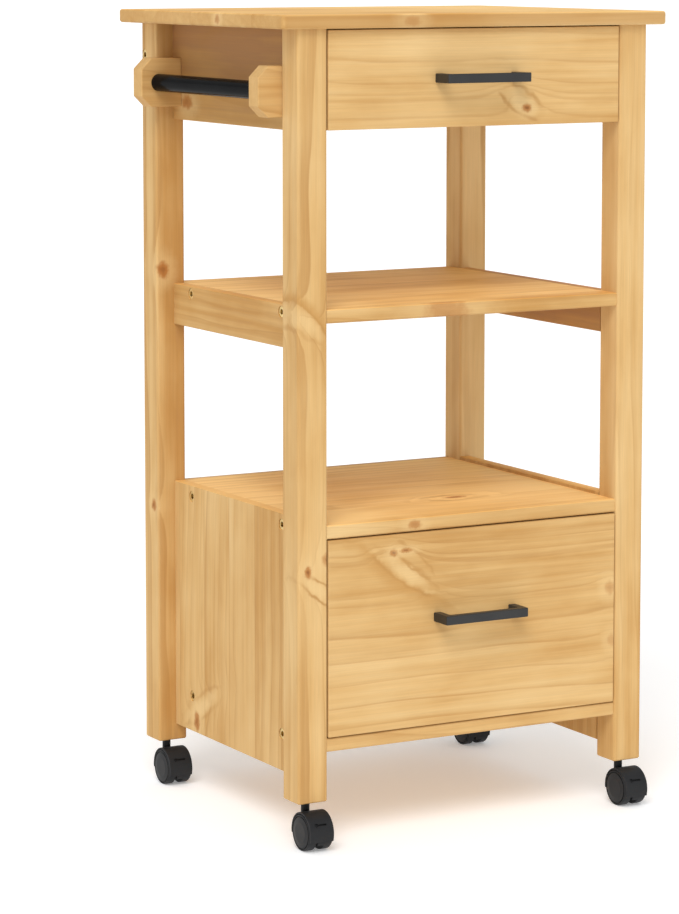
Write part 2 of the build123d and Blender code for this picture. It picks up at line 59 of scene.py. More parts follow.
def splitXyz(tree, vector):
    return addNode(tree, "ShaderNodeSeparateXYZ", {0: vector}).outputs


def joinXyz(tree, x, y=0.0, z=0.0):
    return addNode(tree, "ShaderNodeCombineXYZ", {0: x, 1: y, 2: z}).outputs[0]


def spread(tree, value, between, to=(0.0, 1.0), smooth=False):
    # maps a range of values to another, clamped
    made = addNode(tree, "ShaderNodeMapRange", {
        "Value": value, "From Min": between[0], "From Max": between[1], "To Min": to[0], "To Max": to[1],
    }, interpolation_type="SMOOTHSTEP" if smooth else "LINEAR")
    return made.outputs["Result"]


def noise(tree, vector, scale, detail=2.0, roughness=0.5, output="Fac"):
    made = addNode(tree, "ShaderNodeTexNoise", {
        "Vector": vector, "Scale": scale, "Detail": detail, "Roughness": roughness,
    })
    return made.outputs[output]


def chanceOf(tree, number):
    # a fixed random colour and value for each whole number
    return addNode(tree, "ShaderNodeTexWhiteNoise", {"W": number}, noise_dimensions="1D").outputs


def blendColour(tree, amount, first, second, mode="MIX"):
    made = addNode(tree, "ShaderNodeMix", data_type="RGBA", blend_type=mode)
    for socket, value in ((made.inputs[0], amount), (made.inputs[6], first), (made.inputs[7], second)):
        if isinstance(value, bpy.types.NodeSocket):
            tree.links.new(value, socket)
        else:
            socket.default_value = value
    return made.outputs[2]


def startMaterial(name):
    made = bpy.data.materials.new(name)
    made.use_nodes = True
    tree = made.node_tree
    shader = tree.nodes["Principled BSDF"]
    place = addNode(tree, "ShaderNodeTexCoord").outputs["Object"]
    return made, tree, shader, place


def addBump(tree, shader, height, strength, depth):
    bump = addNode(tree, "ShaderNodeBump", {"Height": height, "Strength": strength, "Distance": depth})
    tree.links.new(bump.outputs["Normal"], shader.inputs["Normal"])


def dress(node, material):
    mesh = nodes[node].data
    mesh.materials.clear()
    mesh.materials.append(material)


# lacquered pine: rings round a pith line outside the board, with knots, slanting cuts and glued staves

pine = {
    "early": (0.620, 0.392, 0.160, 1),
    "late": (0.410, 0.205, 0.060, 1),
    "pale": (0.700, 0.485, 0.228, 1),
    "amber": (0.500, 0.272, 0.086, 1),
    "umber": (0.398, 0.203, 0.080, 1),
    "toneSpan": 0.9,  # a board is amber at this tone, umber at twice it and pale at minus it
    "paintedTopLightTint": (1.40, 1.33, 1.12, 1),  # painted light: faces that look up are made paler and yellower, as if lit from above
    "squareOn": (0.5, 0.9),  # how squarely a face looks along an axis, from not at all to fully
    "wanderAcross": 5.0,
    "wanderAlong": 2.2,
    "wanderScale": 1.0,
    "wanderDetail": 3.0,
    "wanderRoughness": 0.45,
    "warp": 0.036,
    "ringGap": 0.016,
    "ringStops": ((0.35, 0.06), (0.70, 0.38), (0.90, 1.0)),
    "ringStrength": (0.30, 1.0),
    "unevenScale": 55.0,
    "uneven": 2.2,
    "lineDepth": 0.75,
    "lineDepthOnEnds": 0.3,
    "fadeScale": 1.7,
    "fadeBand": (0.33, 0.66),
    "fade": (0.25, 1.0),
    "fibreScale": 620.0,
    "fibreAlong": 0.022,
    "fibreDetail": 3.0,
    "fibreRoughness": 0.65,
    "fibreBand": (0.25, 0.75),
    "fibreTint": (0.93, 1.05),
    "streakScale": 99.2,
    "streaks": 1.8,
    "cloudScale": 0.9,
    "clouds": 2.4,
    "patchScale": 4.5,
    "patchDetail": 3.0,
    "patches": 1.7,
    "mottleOnEnds": 0.35,
    "roughness": (0.52, 0.68),
    "roughnessBand": (0.3, 0.7),
    "specular": 0.10,
    "fibreHeight": 0.5,
    "lineHeight": 0.35,
    "bump": 0.10,
    "bumpDepth": 0.0005,
}
acrossOf = {"X": (1, 2, 0), "Y": (2, 0, 1), "Z": (0, 1, 2)}  # two axes across the grain, then the grain

# what a glued stave changes by chance, and the line between two staves
stave = {
    "alongShift": 5.0,
    "firstShift": 0.14,
    "secondShift": 0.10,
    "tone": 0.55,
    "seamWidth": 0.0011,
    "seamDepth": (0.5, 0.15),  # on faces, then on the boards' ends
}

# a knot, unless a board says otherwise; the bands are in knot sizes
plainKnot = {
    "stretch": 0.6,
    "end": 0.0,
    "wobbleScale": 1.1,
    "wobble": 0.9,
    "push": 2.2,
    "pushFade": 0.55,
    "halo": 0.45,
    "haloBand": (3.2, 1.1),
    "rim": 0.85,
    "rimBand": (1.3, 0.55),
    "rimColour": (0.400, 0.158, 0.040, 1),
    "dark": 0.8,
    "darkBand": (0.6, 0.15),
    "darkColour": (0.190, 0.062, 0.018, 1),
}

# a branch cut at a slant, unless a board says otherwise; the bands are in shares of the ellipse
plainSwirl = {
    "depth": 1000.0,
    "waveScale": 0.55,
    "waveDetail": 3.0,
    "wave": 1.1,
    "push": 2.6,
    "pushFade": 1.1,
    "pale": 0.6,
    "paleBand": (1.0, 0.2),
    "rim": 0.7,
    "rimInside": (0.70, 0.96),
    "rimOutside": (1.0, 1.28),
    "brokenScale": 0.35,
    "brokenBand": (0.35, 0.60),
    "broken": (0.4, 1.0),
    "sideBand": (0.25, 0.70),
    "sides": (0.1, 1.0),
    "shade": 0.0,
    "shadeSide": 1,
    "shadeStart": (0.9, 1.0),
    "shadeReach": 2.0,
    "shadeEdge": 0.5,
}


def staveShift(tree, parts, staves):
    # each glued stave has its own number, which moves its pattern and its tone
    axis = "XYZ".index(staves["across"])
    steps = calc(tree, "DIVIDE", calc(tree, "SUBTRACT", parts[axis], staves["start"]), staves["width"])
    number = calc(tree, "FLOOR", steps)
    chance = splitXyz(tree, chanceOf(tree, plus(tree, number, staves["seed"]))["Color"])
    fraction = calc(tree, "FRACT", steps)
    edge = calc(tree, "MINIMUM", fraction, calc(tree, "SUBTRACT", 1.0, fraction))
    seam = spread(tree, edge, (0.0, stave["seamWidth"] / staves["width"]), (1.0, 0.0))
    return chance, seam


def knotField(tree, place, knot, grain):
    # distance from a branch that goes through the board, shorter along the grain than it measures
    squeeze = [1.0, 1.0, 1.0]
    squeeze["XYZ".index(grain)] = knot["stretch"]
    squeeze["XYZ".index(knot["through"])] = knot["end"]
    away = vectorCalc(tree, "SUBTRACT", place, knot["at"])
    wobble = noise(tree, away, knot["wobbleScale"] / knot["size"])
    flat = vectorCalc(tree, "LENGTH", vectorCalc(tree, "MULTIPLY", away, tuple(squeeze)))
    return plus(tree, flat, sway(tree, wobble, knot["size"] * knot["wobble"]))


def swirlField(tree, place, swirl):
    # an ellipse on the face with a wavy outline, 1 at its rim, and the place across its length
    through = "XYZ".index(swirl["through"])
    scale = [swirl["long"], swirl["wide"]]
    scale.insert(through, swirl["depth"])
    turn = [0.0, 0.0, 0.0]
    turn[through] = math.radians(swirl["turn"])
    local = addNode(tree, "ShaderNodeMapping", {
        "Vector": place, "Location": swirl["at"], "Rotation": turn, "Scale": scale,
    }, vector_type="TEXTURE").outputs[0]
    wave = noise(tree, place, swirl["waveScale"] / swirl["wide"], swirl["waveDetail"], output="Color")
    wave = vectorCalc(tree, "SUBTRACT", wave, (0.5, 0.5, 0.5))
    wave = vectorCalc(tree, "MULTIPLY", wave, (swirl["wave"],) * 3)
    local = vectorCalc(tree, "ADD", local, wave)
    across = splitXyz(tree, local)["Y" if swirl["through"] == "Z" else "Z"]
    return vectorCalc(tree, "LENGTH", local), across


def pushRings(tree, radius, field, fade, amount):
    # rings swing round a knot or a slanting cut
    push = calc(tree, "EXPONENT", times(tree, field, -fade))
    return plus(tree, radius, times(tree, push, amount))


def ringLines(tree, radius, wood):
    # each ring darkens slowly and ends at a crisp edge, some rings more than others
    uneven = noise(tree, joinXyz(tree, radius), pine["unevenScale"], 1.0)
    count = calc(tree, "DIVIDE", radius, pine["ringGap"] * wood.get("gap", 1.0))
    turns = plus(tree, count, times(tree, uneven, pine["uneven"]))
    ramp = addNode(tree, "ShaderNodeValToRGB", {"Fac": calc(tree, "FRACT", turns)})
    ramp.color_ramp.interpolation = "EASE"
    for stop in ramp.color_ramp.elements:
        stop.color = (0.0, 0.0, 0.0, 1)
    for position, level in pine["ringStops"]:
        stop = ramp.color_ramp.elements.new(position)
        stop.color = (level, level, level, 1)
    chance = chanceOf(tree, plus(tree, calc(tree, "FLOOR", turns), wood["seed"]))["Value"]
    return times(tree, ramp.outputs["Color"], spread(tree, chance, (0.0, 1.0), pine["ringStrength"]))


def groundColour(tree, shade):
    # the wood between the ring lines
    full = pine["toneSpan"]
    colour = blendColour(tree, spread(tree, shade, (0.0, full)), pine["early"], pine["amber"])
    colour = blendColour(tree, spread(tree, shade, (full, 2 * full)), colour, pine["umber"])
    return blendColour(tree, spread(tree, shade, (0.0, -full)), colour, pine["pale"])


def paintSwirl(tree, colour, place, swirl, field, across):
    if swirl["shade"]:  # darker wood along one side of the cut
        start = spread(tree, field, swirl["shadeStart"], (0.0, swirl["shade"]))
        outside = times(tree, start, spread(tree, field, (1.0, swirl["shadeReach"]), (1.0, 0.0), True))
        oneSide = spread(tree, across, (0.0, swirl["shadeEdge"] * swirl["shadeSide"]))
        colour = blendColour(tree, times(tree, outside, oneSide), colour, pine["amber"])
    filling = spread(tree, field, swirl["paleBand"], (0.0, swirl["pale"]), True)
    colour = blendColour(tree, filling, colour, pine["pale"])
    rim = times(tree, spread(tree, field, swirl["rimInside"], (0.0, swirl["rim"]), True),
                spread(tree, field, swirl["rimOutside"], (1.0, 0.0), True))
    grain = noise(tree, place, swirl["brokenScale"] / swirl["wide"], 1.0)
    broken = spread(tree, grain, swirl["brokenBand"], swirl["broken"])
    sides = spread(tree, calc(tree, "ABSOLUTE", across), swirl["sideBand"], swirl["sides"], True)
    rim = times(tree, rim, times(tree, broken, sides))
    return blendColour(tree, rim, colour, pine["late"])


def paintKnot(tree, colour, knot, field):
    # a pale halo, a red-brown rim and a dark middle
    layers = (("halo", pine["pale"]), ("rim", knot["rimColour"]), ("dark", knot["darkColour"]))
    for layer, tint in layers:
        band = [share * knot["size"] for share in knot[layer + "Band"]]
        colour = blendColour(tree, spread(tree, field, band, (0.0, knot[layer]), True), colour, tint)
    return colour


def pineMaterial(name, wood):
    made, tree, shader, place = startMaterial(name)
    parts = splitXyz(tree, place)
    first, second, along = (parts[axis] for axis in acrossOf[wood["grain"]])
    facing = splitXyz(tree, addNode(tree, "ShaderNodeTexCoord").outputs["Normal"])
    endFace = spread(tree, calc(tree, "ABSOLUTE", facing["XYZ".index(wood["grain"])]), pine["squareOn"])
    tone = wood.get("tone", 0.0)
    # bands of tone across a board: on some boards the wood's own tone, on others painted light and painted
    # shade
    for band in wood.get("toneAndPaintedLightBands", ()):
        across = parts["XYZ".index(band["across"])]
        tone = plus(tree, tone, spread(tree, across, band["between"], (0.0, band["tone"]), True))
    if "staves" in wood:
        chance, seam = staveShift(tree, parts, wood["staves"])
        along = plus(tree, along, times(tree, chance[0], stave["alongShift"]))
        second = plus(tree, second, sway(tree, chance[1], stave["secondShift"]))
        first = plus(tree, first, sway(tree, chance[2], stave["firstShift"]))
        tone = plus(tree, tone, sway(tree, chance[1], stave["tone"]))

    # rings round the pith, with a slow wander along the board
    stretched = joinXyz(
        tree, times(tree, first, pine["wanderAcross"]), times(tree, second, pine["wanderAcross"]),
        plus(tree, times(tree, along, pine["wanderAlong"]), wood["seed"]),
    )
    wander = splitXyz(tree, noise(tree, stretched, pine["wanderScale"], pine["wanderDetail"],
                                  pine["wanderRoughness"], "Color"))
    lean = times(tree, along, wood["lean"])
    u = plus(tree, calc(tree, "SUBTRACT", first, wood["heart"][0]), sway(tree, wander[0], pine["warp"]))
    v = plus(tree, plus(tree, calc(tree, "SUBTRACT", second, wood["heart"][1]), lean),
             sway(tree, wander[1], pine["warp"]))
    radius = vectorCalc(tree, "LENGTH", joinXyz(tree, u, v))
    knots = [{**plainKnot, **knot} for knot in wood.get("knots", ())]
    knots = [(knot, knotField(tree, place, knot, wood["grain"])) for knot in knots]
    for knot, field in knots:
        radius = pushRings(tree, radius, field, knot["pushFade"] / knot["size"], knot["size"] * knot["push"])
    swirls = [{**plainSwirl, **swirl} for swirl in wood.get("swirls", ())]
    swirls = [(swirl, *swirlField(tree, place, swirl)) for swirl in swirls]
    for swirl, field, across in swirls:
        radius = pushRings(tree, radius, field, swirl["pushFade"], swirl["wide"] * swirl["push"])
    lines = ringLines(tree, radius, wood)
    fade = spread(tree, noise(tree, stretched, pine["fadeScale"]), pine["fadeBand"], pine["fade"])
    depth = times(tree, fade, pine["lineDepth"] * wood.get("lines", 1.0))
    depth = times(tree, depth, spread(tree, endFace, (0.0, 1.0), (1.0, pine["lineDepthOnEnds"])))

    # fibres, fine streaks along the grain, and soft patches of tone
    threads = joinXyz(tree, first, second, times(tree, along, pine["fibreAlong"]))
    fibre = noise(tree, threads, pine["fibreScale"], pine["fibreDetail"], pine["fibreRoughness"])
    streaks = noise(tree, threads, pine["streakScale"])
    clouds = noise(tree, stretched, pine["cloudScale"])
    patches = noise(tree, stretched, pine["patchScale"], pine["patchDetail"])
    mottle = plus(tree, sway(tree, clouds, pine["clouds"]), sway(tree, patches, pine["patches"]))
    mottle = plus(tree, mottle, sway(tree, streaks, pine["streaks"] * wood.get("streak", 1.0)))
    mottle = times(tree, mottle, spread(tree, endFace, (0.0, 1.0), (1.0, pine["mottleOnEnds"])))
    colour = groundColour(tree, plus(tree, tone, mottle))
    colour = blendColour(tree, times(tree, lines, depth), colour, pine["late"])
    for swirl, field, across in swirls:
        colour = paintSwirl(tree, colour, place, swirl, field, across)
    for knot, field in knots:
        colour = paintKnot(tree, colour, knot, field)
    grey = spread(tree, fibre, pine["fibreBand"], pine["fibreTint"])
    colour = blendColour(tree, 1.0, colour, joinXyz(tree, grey, grey, grey), "MULTIPLY")
    if "staves" in wood:
        seamDepth = spread(tree, endFace, (0.0, 1.0), stave["seamDepth"])
        colour = blendColour(tree, times(tree, seam, seamDepth), colour, pine["late"])
    # painted light: faces that look up are brightened and yellowed
    if wood.get("paintedTopLight"):
        paintedTopLightMask = spread(tree, facing["Z"], pine["squareOn"])
        colour = blendColour(tree, paintedTopLightMask, colour, pine["paintedTopLightTint"], "MULTIPLY")
    tree.links.new(colour, shader.inputs["Base Color"])
    tree.links.new(spread(tree, fibre, pine["roughnessBand"], pine["roughness"]), shader.inputs["Roughness"])
    shader.inputs["Specular IOR Level"].default_value = pine["specular"]
    height = plus(tree, times(tree, fibre, pine["fibreHeight"]), times(tree, lines, pine["lineHeight"]))
    addBump(tree, shader, height, pine["bump"], pine["bumpDepth"])
    return made


# every board: its grain, the pith line that its rings circle, its tone (on some boards with painted light
# and painted shade), staves, knots and swirls, in metres

topBoards = {
    "worktop": {
        "grain": "X", "heart": (0.02, 0.79), "lean": 0.05, "seed": 3.1,
        "tone": 0.10, "streak": 1.4, "paintedTopLight": True,
        "toneAndPaintedLightBands": [
            {"across": "X", "between": (-0.236, -0.243), "tone": 0.40},
            {"across": "X", "between": (-0.110, 0.100), "tone": -1.00},
        ],
        "staves": {"across": "Y", "width": 0.072, "start": -0.19, "seed": 4.0},
        "knots": [
            {"at": (-0.0854, -0.190, 0.8920), "size": 0.0060, "through": "Y",
             "dark": 0.1, "rim": 0.5, "end": 0.5, "halo": 0.8},
            {"at": (-0.2430, -0.0385, 0.8930), "size": 0.0055, "through": "X",
             "dark": 0.2, "rim": 0.6, "end": 0.5, "stretch": 1.0, "halo": 0.7},
        ],
    },
    "middle_shelf": {
        "grain": "X", "heart": (-0.05, 0.50), "lean": 0.04, "seed": 8.4, "tone": 0.20, "paintedTopLight": True,
        # painted light and painted shade: the top is paler behind the front edge and toward the left end,
        # and darker toward the back under the worktop
        "toneAndPaintedLightBands": [
            {"across": "Y", "between": (-0.178, -0.150), "tone": -0.50},
            {"across": "Y", "between": (-0.060, 0.120), "tone": 0.40},
            {"across": "X", "between": (-0.080, -0.170), "tone": -0.60},
        ],
        "staves": {"across": "Y", "width": 0.094, "start": -0.182, "seed": 9.0},
        "knots": [
            {"at": (-0.0359, -0.176, 0.583), "size": 0.010, "through": "Z",
             "dark": 0.1, "rim": 0.55, "stretch": 0.35},
        ],
    },
    "lower_shelf": {
        "grain": "X", "heart": (-0.09, 0.28), "lean": 0.05, "seed": 1.7,
        "tone": 0.10, "lines": 0.8, "paintedTopLight": True,
        # painted light: the top is paler behind the front edge and toward the left end; the middle band also
        # makes the right part paler
        "toneAndPaintedLightBands": [
            {"across": "Y", "between": (-0.178, -0.150), "tone": -0.50},
            {"across": "X", "between": (-0.080, 0.060), "tone": -0.35},
            {"across": "X", "between": (-0.080, -0.150), "tone": -0.80},
        ],
        "staves": {"across": "Y", "width": 0.094, "start": -0.182, "seed": 15.0},
        "knots": [
            {"at": (0.0354, -0.0801, 0.3525), "size": 0.006, "through": "Z", "stretch": 0.4, "dark": 0.5},
            {"at": (-0.0756, -0.180, 0.3450), "size": 0.0050, "through": "Y",
             "dark": 0.1, "rim": 0.7, "end": 0.5, "push": 1.0},
        ],
        "swirls": [
            {"at": (0.030, -0.083, 0.3525), "long": 0.036, "wide": 0.017, "turn": 0, "through": "Z"},
        ],
    },
    "cabinet_bottom": {
        "grain": "X", "heart": (0.03, 0.03), "lean": 0.05, "seed": 5.5,
        "staves": {"across": "Y", "width": 0.094, "start": -0.182, "seed": 22.0},
    },
    "upper_back": {"grain": "X", "heart": (0.26, 0.83), "lean": 0.06, "seed": 12.2, "tone": 0.05},
}

posts = {
    "post_front_left": {
        "grain": "Z", "heart": (-0.262, -0.115), "lean": 0.012, "seed": 2.0, "gap": 1.3, "tone": -0.15,
        "knots": [
            {"at": (-0.2095, -0.182, 0.3040), "size": 0.0042, "through": "Y", "dark": 0.6},
            {"at": (-0.1862, -0.182, 0.3160), "size": 0.0062, "through": "Y",
             "dark": 0.25, "rim": 0.6, "stretch": 0.8, "halo": 0.3},
        ],
        "swirls": [
            {"at": (-0.1985, -0.182, 0.2850), "long": 0.022, "wide": 0.009, "turn": 36, "through": "Y",
             "rim": 0.75, "pale": 0.7},
            {"at": (-0.2139, -0.182, 0.5755), "long": 0.030, "wide": 0.012, "turn": 41, "through": "Y",
             "rim": 0.4, "shade": 0.9},
        ],
    },
    "post_front_right": {"grain": "Z", "heart": (0.27, -0.12), "lean": 0.010, "seed": 6.3, "gap": 1.4},
    "post_back_left": {
        "grain": "Z", "heart": (-0.26, 0.24), "lean": -0.012, "seed": 7.9, "gap": 1.2, "tone": 0.03,
        # partly the wood's own darker tone and partly painted shade: the front face darkens toward the
        # inside of the cart
        "toneAndPaintedLightBands": [{"across": "X", "between": (-0.2215, -0.2090), "tone": 0.75}],
        "knots": [
            {"at": (-0.2135, 0.158, 0.6019), "size": 0.0075, "through": "Y",
             "dark": 0.35, "stretch": 0.75, "end": 0.6, "rim": 0.95},
            {"at": (-0.2215, 0.1686, 0.3281), "size": 0.006, "through": "X",
             "dark": 0.45, "stretch": 0.9, "end": 0.6},
        ],
    },
    "post_back_right": {
        # painted light: the whole post is made paler; painted shade: it darkens toward its inner face
        "grain": "Z", "heart": (0.255, 0.23), "lean": 0.012, "seed": 11.0, "gap": 1.2, "tone": -0.9,
        "toneAndPaintedLightBands": [{"across": "X", "between": (0.1915, 0.1860), "tone": 0.75}],
    },
}

sideBoards = {
    "upper_side_left": {
        # painted shade: the board is made darker, and darker still toward its top under the worktop
        "grain": "Y", "heart": (0.86, -0.27), "lean": 0.05, "seed": 4.2, "tone": 0.55,
        "toneAndPaintedLightBands": [{"across": "Z", "between": (0.785, 0.860), "tone": 1.05}],
        "knots": [{"at": (-0.1995, 0.1221, 0.7959), "size": 0.008, "through": "X", "dark": 0.2}],
    },
    "upper_side_right": {"grain": "Y", "heart": (0.80, 0.28), "lean": 0.05, "seed": 9.3, "tone": 0.1},
    "middle_rail_left": {
        "grain": "Y", "heart": (0.52, -0.25), "lean": 0.04, "seed": 10.6, "tone": 0.45, "paintedTopLight": True,
    },
    "middle_rail_right": {
        # painted shade: the whole rail is made much darker, for the shade it stands in
        "grain": "Y", "heart": (0.60, 0.25), "lean": 0.04, "seed": 13.1, "tone": 1.40, "paintedTopLight": True,
    },
    "cabinet_side_left": {
        "grain": "Z", "heart": (-0.28, 0.02), "lean": 0.05, "seed": 0.6,
        "tone": 0.05, "lines": 0.7, "streak": 0.8, "paintedTopLight": True,
        "staves": {"across": "Y", "width": 0.062, "start": -0.164, "seed": 31.0},
        "knots": [{"at": (-0.1995, 0.1042, 0.0824), "size": 0.007, "through": "X", "dark": 0.4}],
        "swirls": [
            {"at": (-0.1995, 0.090, 0.104), "long": 0.056, "wide": 0.013, "turn": -28, "through": "X",
             "rim": 0.3, "pale": 0.85},
        ],
    },
    "cabinet_side_right": {
        "grain": "Z", "heart": (0.28, 0.0), "lean": 0.05, "seed": 1.9, "tone": 0.08, "paintedTopLight": True,
        "toneAndPaintedLightBands": [{"across": "X", "between": (0.1965, 0.1870), "tone": 0.75}],
        "staves": {"across": "Y", "width": 0.066, "start": -0.150, "seed": 37.0},
    },
}

towelBrackets = {
    "towel_bracket_front": {"grain": "X", "heart": (-0.20, 0.80), "lean": 0.1, "seed": 3.3, "tone": 0.15},
    "towel_bracket_back": {"grain": "X", "heart": (0.10, 0.85), "lean": 0.1, "seed": 5.8, "tone": 0.1},
}

drawerBoards = {
    "upper_drawer_front": {
        "grain": "X", "heart": (-0.25, 0.95), "lean": 0.03, "seed": 14.0, "gap": 1.15, "tone": 0.15,
        "knots": [
            {"at": (0.0641, -0.182, 0.7956), "size": 0.0050, "through": "Y", "dark": 0.6, "stretch": 0.8},
        ],
        "swirls": [
            {"at": (0.0589, -0.182, 0.8023), "long": 0.027, "wide": 0.013, "turn": 29, "through": "Y",
             "rim": 0.95, "pale": 0.75},
        ],
    },
    "lower_drawer_front": {
        "grain": "X", "heart": (-0.25, 0.45), "lean": 0.03, "seed": 17.5, "gap": 1.5,
        "knots": [
            {"at": (-0.1031, -0.182, 0.3164), "size": 0.0042, "through": "Y", "rim": 0.95, "stretch": 0.8},
            {"at": (-0.0880, -0.182, 0.3180), "size": 0.0028, "through": "Y",
             "dark": 0.5, "rim": 0.7, "stretch": 0.35},
            {"at": (0.1780, -0.182, 0.2521), "size": 0.0080, "through": "Y",
             "dark": 0.1, "rim": 0.4, "stretch": 1.2},
            {"at": (0.1810, -0.182, 0.1918), "size": 0.0070, "through": "Y",
             "dark": 0.0, "rim": 0.3, "stretch": 1.2},
        ],
        "swirls": [
            {"at": (-0.0880, -0.182, 0.2940), "long": 0.043, "wide": 0.011, "turn": 34, "through": "Y",
             "pale": 0.80, "rim": 0.4, "shade": 0.75, "shadeSide": -1, "shadeReach": 2.6},
            {"at": (-0.0780, -0.182, 0.3060), "long": 0.030, "wide": 0.008, "turn": 40, "through": "Y",
             "pale": 0.2, "rim": 0.5},
        ],
    },
}

# the rest of each drawer box, cut from plainer boards
drawerBox = {
    "heights": {"upper": 0.82, "lower": 0.225},
    "sideHeart": 0.26,
    "sideStep": 0.03,
    "sideLean": 0.04,
    "sideSeed": 20.0,
    "sideSeedStep": 3,
    "backHeart": 0.24,
    "backLean": 0.05,
    "backSeed": 26.0,
    "tone": -0.15,
}
for level, height in drawerBox["heights"].items():
    for side, sign in (("left", -1), ("right", 1)):
        drawerBoards[f"{level}_drawer_side_{side}"] = {
            "grain": "Y",
            "heart": (height + drawerBox["sideStep"] * sign, sign * drawerBox["sideHeart"]),
            "lean": drawerBox["sideLean"],
            "seed": drawerBox["sideSeed"] + drawerBox["sideSeedStep"] * sign + height,
            "tone": drawerBox["tone"],
        }
    drawerBoards[f"{level}_drawer_back"] = {
        "grain": "X",
        "heart": (drawerBox["backHeart"], height),
        "lean": drawerBox["backLean"],
        "seed": drawerBox["backSeed"] + height,
        "tone": drawerBox["tone"],
    }

for group in (topBoards, posts, sideBoards, towelBrackets, drawerBoards):
    for node, wood in group.items():
        dress(node, pineMaterial("pine_" + node, wood))
print("pine boards dressed")


# plain beech for runners and dowels, and plywood for the thin panels

beech = {
    "light": (0.60, 0.40, 0.235, 1),
    "dark": (0.45, 0.265, 0.135, 1),
    "fleckScale": 420.0,
    "roughness": (0.5, 0.66),
}
plywood = {
    "light": (0.72, 0.525, 0.295, 1),
    "dark": (0.56, 0.365, 0.172, 1),
    "fleckScale": 260.0,
    "roughness": (0.52, 0.68),
}
flecks = {
    "along": 0.05,
    "detail": 3.0,
    "noiseRoughness": 0.6,
    "bandScale": 0.08,
    "fleckShare": 0.55,
    "bandShare": 0.45,
    "contrast": (0.36, 0.64),
    "roughnessBand": (0.3, 0.7),
    "bump": 0.12,
    "bumpDepth": 0.0004,
}


def streakMaterial(name, wood, grain):
    made, tree, shader, place = startMaterial(name)
    squeeze = [1.0, 1.0, 1.0]
    squeeze["XYZ".index(grain)] = flecks["along"]
    stretched = vectorCalc(tree, "MULTIPLY", place, tuple(squeeze))
    fleck = noise(tree, stretched, wood["fleckScale"], flecks["detail"], flecks["noiseRoughness"])
    band = noise(tree, stretched, wood["fleckScale"] * flecks["bandScale"])
    mixed = plus(tree, times(tree, fleck, flecks["fleckShare"]), times(tree, band, flecks["bandShare"]))
    colour = blendColour(tree, spread(tree, mixed, flecks["contrast"]), wood["light"], wood["dark"])
    tree.links.new(colour, shader.inputs["Base Color"])
    roughness = spread(tree, fleck, flecks["roughnessBand"], wood["roughness"])
    tree.links.new(roughness, shader.inputs["Roughness"])
    addBump(tree, shader, fleck, flecks["bump"], flecks["bumpDepth"])
    return made


runnerBeech = streakMaterial("beech_along_y", beech, "Y")
for node in ("upper_runner_left", "upper_runner_right", "lower_runner_left", "lower_runner_right",
             "frame_dowels", "upper_drawer_dowels", "lower_drawer_dowels"):
    dress(node, runnerBeech)
thinPly = streakMaterial("plywood_along_x", plywood, "X")
for node in ("cabinet_back", "upper_drawer_bottom", "lower_drawer_bottom"):
    dress(node, thinPly)
print("runners, dowels and thin panels dressed")


# black powder-coated metal, black gloss tube, black moulded nylon and two kinds of plated steel

blackMetal = {
    "dark": (0.012, 0.0121, 0.0122, 1),
    "light": (0.026, 0.0261, 0.0262, 1),
    "grain": 1500.0,
    "roughness": (0.34, 0.50),
    "bump": 0.10,
    "specular": 0.40,
    "metallic": 0.0,
}
blackTube = {
    "dark": (0.003, 0.0032, 0.0036, 1),
    "light": (0.006, 0.0064, 0.007, 1),
    "grain": 1500.0,
    "roughness": (0.12, 0.20),
    "bump": 0.03,
    "specular": 0.02,
    "metallic": 0.0,
}
blackNylon = {
    "dark": (0.0125, 0.0130, 0.0142, 1),
    "light": (0.0215, 0.0222, 0.0240, 1),
    "grain": 900.0,
    "roughness": (0.36, 0.52),
    "bump": 0.12,
    "specular": 0.17,
    "metallic": 0.0,
    # painted shade colour for grooves and slots
    "creviceShadeColour": (0.0012, 0.0012, 0.0013, 1),
    "creviceShadeReach": 0.0025,
    "creviceShadeBand": (0.55, 0.95),
}
zincSteel = {
    "dark": (0.52, 0.52, 0.50, 1),
    "light": (0.74, 0.74, 0.72, 1),
    "grain": 700.0,
    "roughness": (0.26, 0.44),
    "bump": 0.06,
    "specular": 0.5,
    "metallic": 1.0,
    # painted shade colour for sockets and hollows
    "creviceShadeColour": (0.06, 0.06, 0.06, 1),
    "creviceShadeReach": 0.003,
    "creviceShadeBand": (0.45, 0.90),
}
yellowZinc = {
    "dark": (0.46, 0.31, 0.11, 1),
    "light": (0.84, 0.64, 0.28, 1),
    "grain": 700.0,
    "roughness": (0.22, 0.40),
    "bump": 0.06,
    "specular": 0.5,
    "metallic": 1.0,
    # painted shade colour for screw sockets
    "creviceShadeColour": (0.16, 0.10, 0.04, 1),
    "creviceShadeReach": 0.0025,
    "creviceShadeBand": (0.35, 0.85),
}
specks = {
    "noiseRoughness": 0.6,
    "cloudScale": 24.0,
    "cloudDetail": 3.0,
    "speckShare": 0.4,
    "cloudShare": 0.6,
    "contrast": (0.32, 0.68),
    "creviceShadeSamples": 8,
    "bumpDepth": 0.0002,
}


